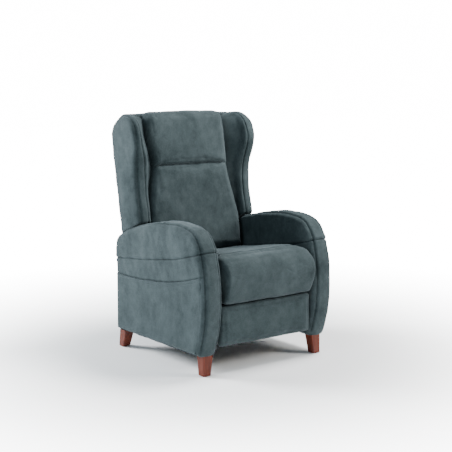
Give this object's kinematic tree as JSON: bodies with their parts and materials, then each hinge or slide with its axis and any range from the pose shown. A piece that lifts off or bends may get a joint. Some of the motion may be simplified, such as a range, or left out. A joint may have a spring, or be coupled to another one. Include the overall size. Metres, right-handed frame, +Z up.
{
  "type": "recliner armchair",
  "caption": "Wing-back reclining armchair with padded curved arms, a side pocket, tapered wooden feet, a hinged backrest and a folding footrest.",
  "frame": {"origin": "centre of the chair's bounding box at floor level, between the four feet", "axes": "+Z up, -Y the way the sitter faces, +X to the sitter's left"},
  "size_m": [0.732, 0.796, 1.1],
  "materials": {
    "upholstery": "blue-grey velvet with a short brushed nap",
    "frame_wood": "unfinished birch plywood and beech",
    "foot_wood": "reddish cherry stain, satin lacquer",
    "glide_plastic": "moulded",
    "mechanism_steel": "black powder coat",
    "spring_steel": "drawn spring wire",
    "lining": "black non-woven dust cloth"
  },
  "bodies": {
    "base": {"arm_board_left": "frame_wood", "arm_board_right": "frame_wood", "arm_inner_pad_left": "upholstery", "arm_inner_pad_right": "upholstery", "arm_outer_pad_left": "upholstery", "arm_outer_pad_right": "upholstery", "arm_top_pad_left": "upholstery", "arm_top_pad_right": "upholstery", "arm_front_band_left": "upholstery", "arm_front_band_right": "upholstery", "side_pocket": "upholstery", "pocket_edge": "upholstery", "foot_front_left": "foot_wood", "foot_front_right": "foot_wood", "foot_rear_left": "foot_wood", "foot_rear_right": "foot_wood", "foot_glide_front_left": "glide_plastic", "foot_glide_front_right": "glide_plastic", "foot_glide_rear_left": "glide_plastic", "foot_glide_rear_right": "glide_plastic", "side_board_left": "frame_wood", "side_board_right": "frame_wood", "front_rail": "frame_wood", "rear_rail": "frame_wood", "rear_panel": "upholstery", "dust_cover": "lining", "back_hinge_plate_left": "mechanism_steel", "back_hinge_plate_right": "mechanism_steel", "back_hinge_pin_left": "mechanism_steel", "back_hinge_pin_right": "mechanism_steel"},
    "seat": {"seat_frame": "frame_wood", "seat_spring_1": "spring_steel", "seat_spring_2": "spring_steel", "seat_spring_3": "spring_steel", "seat_spring_4": "spring_steel", "seat_cushion": "upholstery", "footrest_bracket_left": "mechanism_steel", "footrest_bracket_right": "mechanism_steel", "footrest_shaft": "mechanism_steel"},
    "upper_links": {"upper_link_left": "mechanism_steel", "upper_link_right": "mechanism_steel"},
    "lower_links": {"lower_link_left": "mechanism_steel", "lower_link_right": "mechanism_steel", "knee_rod": "mechanism_steel"},
    "footrest": {"footrest_board": "frame_wood", "footrest_pad": "upholstery", "ankle_rod": "mechanism_steel", "board_hinge_left": "mechanism_steel", "board_hinge_right": "mechanism_steel"},
    "backrest": {"back_frame": "frame_wood", "back_cushion": "upholstery", "headrest_cushion": "upholstery", "back_panel": "upholstery", "wing_pad_left": "upholstery", "wing_pad_right": "upholstery", "wing_board_left": "frame_wood", "wing_board_right": "frame_wood", "back_bracket_left": "mechanism_steel", "back_bracket_right": "mechanism_steel"}
  },
  "joints": [
    {"name": "seat_glide", "type": "slide", "parent": "base", "child": "seat", "axis": [0, -1, 0], "range_m": [0, 0.03]},
    {"name": "footrest_open", "type": "hinge", "parent": "seat", "child": "upper_links", "pos_m": [0, -0.27, 0.258], "axis": [-1, 0, 0], "range_deg": [0, 160]},
    {"name": "knee_fold", "type": "hinge", "parent": "upper_links", "child": "lower_links", "pos_m": [0, -0.07304, 0.22327], "axis": [1, 0, 0], "range_deg": [0, 120]},
    {"name": "footrest_turn", "type": "hinge", "parent": "lower_links", "child": "footrest", "pos_m": [0, -0.27, 0.18854], "axis": [-1, 0, 0], "range_deg": [0, 48]},
    {"name": "backrest_recline", "type": "hinge", "parent": "base", "child": "backrest", "pos_m": [0, 0.165, 0.33], "axis": [-1, 0, 0], "range_deg": [0, 34]}
  ],
  "couplings": [
    {"joint": "seat_glide", "follows": "footrest_open", "m_per_rad": 0.01074},
    {"joint": "knee_fold", "follows": "footrest_open", "ratio": 0.75},
    {"joint": "footrest_turn", "follows": "footrest_open", "ratio": 0.3}
  ]
}
